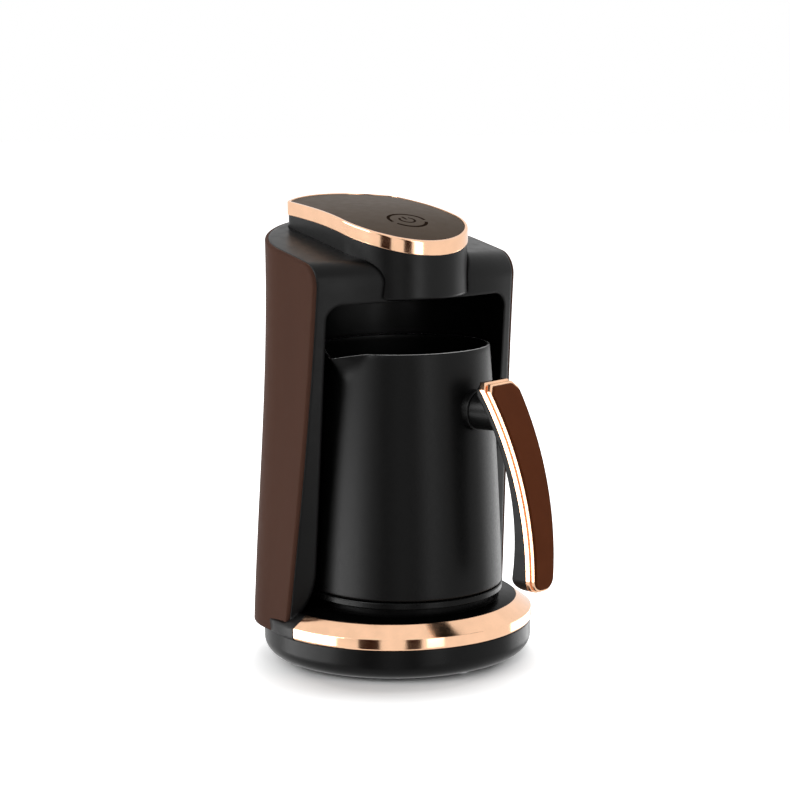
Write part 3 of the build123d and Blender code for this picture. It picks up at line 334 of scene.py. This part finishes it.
FINISH = {
    "tub_black": ("base_tub", "base_cover", "cord_gland"),
    "deck_black": ("deck_ring",),
    "column_black": ("column_shell",),
    "grip_black": ("handle_grip", "handle_stem"),
    "head_black": ("head_shell",),
    "underside_black": ("nose_underside",),
    "brown_skin": ("column_skin",),
    "brown_handle": ("handle_panel",),
    "taupe_panel": ("top_panel",),
    "rose_chrome": ("base_trim_ring", "top_trim", "handle_trim"),
    "pot_coat": ("pot_body", "handle_boss"),
    "pot_foot": ("pot_base_ring",),
    "plate_cast": ("hotplate",),
    "bright_steel": (
        "plunger", "plunger_spring", "cover_screws", "post_screws", "deck_screws", "board_screws",
        "bracket_screws", "handle_bolt", "heater_posts", "heater_bracket",
    ),
    "heater_steel": ("heating_element",),
    "black_rubber": ("rubber_feet",),
    "dark_silicone": ("plate_seal",),
    "board_green": ("main_board", "touch_board", "foam_sensor_board"),
    "part_black": ("power_relay", "thermostat", "buzzer", "capacitor"),
    "part_amber": ("transformer",),
    "white_insulator": ("terminal_block", "plunger_guide"),
    "milky_guide": ("icon_light_guide", "icon_leds"),
    "dark_lens": ("foam_sensor_lens",),
    "wire_jacket": ("heater_leads", "head_cable"),
}
for finish, members in FINISH.items():
    for member in members:
        for spot in nodes[member].material_slots:
            spot.link = "OBJECT"
            spot.material = materials[finish]


# ---- Mesh helpers -------------------------------------------------------------------------------
def piece(name, mesh, finishes, body, slot, *replaced):
    """Links a mesh object, gives it its finishes and lets it ride on a body."""
    obj = bpy.data.objects.new(name, mesh)
    scene.collection.objects.link(obj)
    for finish in finishes:
        mesh.materials.append(materials[finish])
    for face in mesh.polygons:
        face.use_smooth = True
    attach(obj, body)
    if replaced:
        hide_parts(*replaced)


def grid_mesh(name, rows, closed=True, paint=None):
    """A mesh from rows of points, each row a ring round the piece."""
    mesh = bpy.data.meshes.new(name)
    count = len(rows[0])
    faces, kinds = [], []
    for r in range(len(rows) - 1):
        for c in range(count if closed else count - 1):
            d = (c + 1) % count
            faces.append((r * count + c, r * count + d, (r + 1) * count + d, (r + 1) * count + c))
            kinds.append(paint[r] if paint else 0)
    mesh.from_pydata([tuple(p) for row in rows for p in row], [], faces)
    mesh.update()
    for face, kind in zip(mesh.polygons, kinds):
        face.material_index = kind
    return mesh


# ---- Pot ----------------------------------------------------------------------------------------
def arc_radius(z):
    """The pot's outer radius at a height: a parabola through its foot, waist and rim."""
    (z1, r1), (z2, r2), (z3, r3) = (POT_BODY, FOOT_R), (WAIST_Z, WAIST_R), (RIM_Z, RIM_R)
    return (
        r1 * (z - z2) * (z - z3) / ((z1 - z2) * (z1 - z3))
        + r2 * (z - z1) * (z - z3) / ((z2 - z1) * (z2 - z3))
        + r3 * (z - z1) * (z - z2) / ((z3 - z1) * (z3 - z2))
    )


def spout_shift(angle, z):
    """How far the lip is pressed outwards there, and how far it drops."""
    turn = (angle - SPOUT_AZIMUTH + math.pi) % (2 * math.pi) - math.pi
    depth = max(0.0, min(1.0, (z - (RIM_Z - SPOUT_TALL)) / SPOUT_TALL))
    across = abs(turn) / (SPOUT_HALF + SPOUT_SPREAD * depth)
    if across >= 1 or depth <= 0:
        return 0.0, 0.0
    ridge = (1 - across) ** SPOUT_ACROSS * (1 - SPOUT_PINCH * across)
    return SPOUT_REACH * ridge * depth**SPOUT_RISE, SPOUT_DROP * ridge * depth**SPOUT_DIP


def pot_section():
    """The vessel's radius, height and finish, from its underside up and over the rim to its inner floor."""
    coat, metal = 0, 1
    bevel_in, bevel_up = UNDERSIDE_BEVEL
    inner_floor = POT_FLOOR + FLOOR_THICK
    low, high = POT_BODY + FOOT_ROUND, RIM_Z - RIM_START
    corner = inner_floor + INNER_CORNER
    section = [
        (0.0, POT_FLOOR, coat),
        (MIDDLE_R, POT_FLOOR, coat),
        (UNDERSIDE_R - bevel_in, POT_FLOOR, coat),
        (UNDERSIDE_R, POT_FLOOR + bevel_up, coat),
        (UNDERSIDE_R, POT_BODY - STEP_GAP, coat),
    ]
    for step in range(FOOT_STEPS + 1):
        turn = math.pi / 2 * step / FOOT_STEPS
        radius = FOOT_R - FOOT_ROUND + FOOT_ROUND * math.sin(turn)
        section.append((radius, low - FOOT_ROUND * math.cos(turn), coat))
    for step in range(1, POT_STEPS + 1):
        z = low + (high - low) * step / POT_STEPS
        section.append((arc_radius(z), z, coat))
    section += [
        (RIM_R - RIM_BREAK, RIM_Z - RIM_BREAK, metal),
        (RIM_R - RIM_FLAT, RIM_Z, metal),
        (RIM_R - WALL + RIM_FLAT, RIM_Z, metal),
        (RIM_R - WALL + RIM_BREAK, RIM_Z - RIM_BREAK, coat),
    ]
    for step in range(POT_STEPS + 1):
        z = high - (high - corner) * step / POT_STEPS
        section.append((arc_radius(z) - WALL, z, coat))
    wall_end = arc_radius(POT_FLOOR + CORNER_LEVEL) - WALL
    for step in range(1, CORNER_STEPS + 1):
        turn = math.pi / 2 * step / CORNER_STEPS
        radius = wall_end - INNER_CORNER * (1 - math.cos(turn))
        section.append((radius, corner - INNER_CORNER * math.sin(turn), coat))
    section += [(MIDDLE_R, inner_floor, coat), (0.0, inner_floor, coat)]
    return section


def add_pot():
    """The pot's vessel, turned from its section, with the pouring lip pressed into it."""
    section = pot_section()
    rows = []
    for radius, z, _ in section:
        row = []
        for step in range(POT_TURNS):
            angle = 2 * math.pi * step / POT_TURNS
            out, drop = spout_shift(angle, z) if radius > SPOUT_INSIDE else (0.0, 0.0)
            row.append(((radius + out) * math.cos(angle), POT_Y + (radius + out) * math.sin(angle), z - drop))
        rows.append(row)
    mesh = grid_mesh("pot_vessel", rows, paint=[kind for _, _, kind in section])
    piece("pot_vessel", mesh, ["pot_coat", "rim_metal"], "pot", "pot_coating", "pot_body")


add_pot()


# ---- Touch icon ---------------------------------------------------------------------------------
def panel_height(x, y):
    """The top panel's surface there."""
    ridge = CROWN[0] + CROWN[1] * y + CROWN[2] * y * y + CROWN[3] * y**3 - PANEL_DROP - CROWN_PIVOT
    return CROWN_PIVOT + math.sqrt(ridge * ridge - x * x)


def ribbon(name, path, width):
    """A thin printed line on the panel: a flat strip with softened edges that follows its surface."""
    rows = []
    count = len(path)
    for side, rise in zip(PRINT_ACROSS, PRINT_RISE):
        row = []
        for i, (x, y) in enumerate(path):
            ax, ay = path[max(0, i - 1)]
            bx, by = path[min(count - 1, i + 1)]
            length = math.hypot(bx - ax, by - ay)
            px, py = x - (by - ay) / length * width * side, y + (bx - ax) / length * width * side
            row.append((px, py, panel_height(px, py) + rise))
        rows.append(row)
    mesh = grid_mesh(name, rows, closed=False)
    piece(name, mesh, ["icon_print"], "machine", "brown_panel")


def icon_arc(radius, start, end, steps=48):
    """Points of an arc round the icon's middle, between two angles in degrees."""
    turns = [math.radians(start + (end - start) * i / steps) for i in range(steps + 1)]
    return [(radius * math.cos(turn), ICON_Y + radius * math.sin(turn)) for turn in turns]


bar = [(0.0, ICON_Y + POWER_FOOT + POWER_BAR * i / POWER_STEPS) for i in range(POWER_STEPS + 1)]
ribbon("icon_arc_upper", icon_arc(ICON_R, -8, 188), ICON_BROAD)
ribbon("icon_arc_lower", icon_arc(ICON_R, 205, 335), ICON_BROAD)
ribbon("icon_power_ring", icon_arc(POWER_R, -230, 50), ICON_FINE)
ribbon("icon_power_bar", bar, ICON_FINE)


# ---- Lamps, cards, world and floor --------------------------------------------------------------
def softbox(name, azimuth, elevation, distance, width, height, radiance):
    """A rectangular lamp, placed round the object from the camera's line. Gloss sees the cards instead."""
    a, e = math.radians(azimuth), math.radians(elevation)
    target = Vector((0, 0, LAMP_AIM_Z))
    place = target + distance * turned(math.sin(a) * math.cos(e), -math.cos(a) * math.cos(e), math.sin(e))
    data = bpy.data.lights.new(name, "AREA")
    data.shape = "RECTANGLE"
    data.size, data.size_y = width, height
    data.energy = radiance * math.pi * width * height
    lamp = bpy.data.objects.new(name, data)
    scene.collection.objects.link(lamp)
    facing = (target - place).to_track_quat("-Z", "Y")
    lamp.matrix_world = Matrix.Translation(place) @ facing.to_matrix().to_4x4()
    lamp.visible_camera = False
    lamp.visible_glossy = False


def card(name, azimuth, distance, width, low, high, tone):
    """An upright studio card that only reflections see."""
    a = math.radians(azimuth)
    middle = turned(math.sin(a) * distance, -math.cos(a) * distance)
    side = turned(math.cos(a), math.sin(a)) * width / 2
    rows = []
    shares = [2 * j / CARD_STEPS - 1 for j in range(CARD_STEPS + 1)]
    for i in range(CARD_STEPS + 1):
        z = low + (high - low) * i / CARD_STEPS
        rows.append([tuple((middle + side * share)[:2]) + (z,) for share in shares])
    mesh = grid_mesh(name, rows, closed=False)
    obj = bpy.data.objects.new(name, mesh)
    scene.collection.objects.link(obj)
    material = bpy.data.materials.new(name)
    material.use_nodes = True
    tree = material.node_tree
    tree.nodes.clear()
    out = tree.nodes.new("ShaderNodeOutputMaterial")
    glow = tree.nodes.new("ShaderNodeEmission")
    glow.inputs["Color"].default_value = (*tone, 1)
    tree.links.new(glow.outputs[0], out.inputs[0])
    mesh.materials.append(material)
    obj.visible_camera = False
    obj.visible_diffuse = False
    obj.visible_shadow = False
    obj.visible_transmission = False


def add_world():
    """A dim white world for diffuse light, which shows as plain white to the camera, gloss and glass."""
    world = bpy.data.worlds.new("studio")
    scene.world = world
    world.use_nodes = True
    tree = world.node_tree
    tree.nodes.clear()
    out = tree.nodes.new("ShaderNodeOutputWorld")
    mix = tree.nodes.new("ShaderNodeMixShader")
    shown = tree.nodes.new("ShaderNodeBackground")
    lighting = tree.nodes.new("ShaderNodeBackground")
    shown.inputs["Color"].default_value = (1, 1, 1, 1)
    shown.inputs["Strength"].default_value = 1.0
    lighting.inputs["Color"].default_value = (1, 1, 1, 1)
    lighting.inputs["Strength"].default_value = WORLD_LIGHT
    path = tree.nodes.new("ShaderNodeLightPath")
    first = tree.nodes.new("ShaderNodeMath")
    second = tree.nodes.new("ShaderNodeMath")
    first.operation = second.operation = "MAXIMUM"
    tree.links.new(path.outputs["Is Camera Ray"], first.inputs[0])
    tree.links.new(path.outputs["Is Glossy Ray"], first.inputs[1])
    tree.links.new(first.outputs[0], second.inputs[0])
    tree.links.new(path.outputs["Is Transmission Ray"], second.inputs[1])
    tree.links.new(second.outputs[0], mix.inputs["Fac"])
    tree.links.new(lighting.outputs[0], mix.inputs[1])
    tree.links.new(shown.outputs[0], mix.inputs[2])
    tree.links.new(mix.outputs[0], out.inputs[0])


def add_floor():
    """A wide pale disc. The camera sees it white from a glow that grows away from a point in front of the
    object, which leaves a painted shade round the object over its real soft shadow.
    """
    rows = []
    turns = [2 * math.pi * i / FLOOR_SIDES for i in range(FLOOR_SIDES)]
    for radius in FLOOR_RINGS:
        rows.append([(radius * math.cos(turn), radius * math.sin(turn), 0.0) for turn in turns])
    mesh = grid_mesh("floor", rows)
    obj = bpy.data.objects.new("floor", mesh)
    scene.collection.objects.link(obj)
    material = bpy.data.materials.new("pale_floor")
    material.use_nodes = True
    tree = material.node_tree
    tree.nodes.clear()
    out = tree.nodes.new("ShaderNodeOutputMaterial")
    paint = tree.nodes.new("ShaderNodeBsdfDiffuse")
    paint.inputs["Color"].default_value = (FLOOR_GREY, FLOOR_GREY, FLOOR_GREY, 1)
    glow = tree.nodes.new("ShaderNodeEmission")
    glow.inputs["Color"].default_value = (1, 1, 1, 1)
    place = tree.nodes.new("ShaderNodeTexCoord")
    away = tree.nodes.new("ShaderNodeVectorMath")
    away.operation = "LENGTH"
    # Painted shade: near the object the floor gets no camera glow, so it stays grey; farther out the glow
    # lifts it to plain white.
    fade = tree.nodes.new("ShaderNodeMapRange")
    fade.inputs["From Min"].default_value, fade.inputs["From Max"].default_value = PAINTED_SHADE_FADE
    fade.inputs["To Min"].default_value, fade.inputs["To Max"].default_value = FLOOR_LIFT
    middle = tree.nodes.new("ShaderNodeVectorMath")
    middle.operation = "SUBTRACT"
    middle.inputs[1].default_value = turned(0, -PAINTED_SHADE_MIDDLE)
    tree.links.new(place.outputs["Object"], middle.inputs[0])
    tree.links.new(middle.outputs["Vector"], away.inputs[0])
    tree.links.new(away.outputs["Value"], fade.inputs["Value"])
    lift = tree.nodes.new("ShaderNodeMath")
    lift.operation = "MULTIPLY"
    tree.links.new(fade.outputs["Result"], lift.inputs[1])
    path = tree.nodes.new("ShaderNodeLightPath")
    total = tree.nodes.new("ShaderNodeAddShader")
    tree.links.new(path.outputs["Is Camera Ray"], lift.inputs[0])
    tree.links.new(lift.outputs[0], glow.inputs["Strength"])
    tree.links.new(paint.outputs[0], total.inputs[0])
    tree.links.new(glow.outputs[0], total.inputs[1])
    tree.links.new(total.outputs[0], out.inputs[0])
    mesh.materials.append(material)
    obj.visible_glossy = False


add_world()
add_floor()
for box in SOFTBOXES:
    softbox(*box)
for sheet in CARDS:
    card(*sheet)

scene.view_settings.view_transform = "Standard"
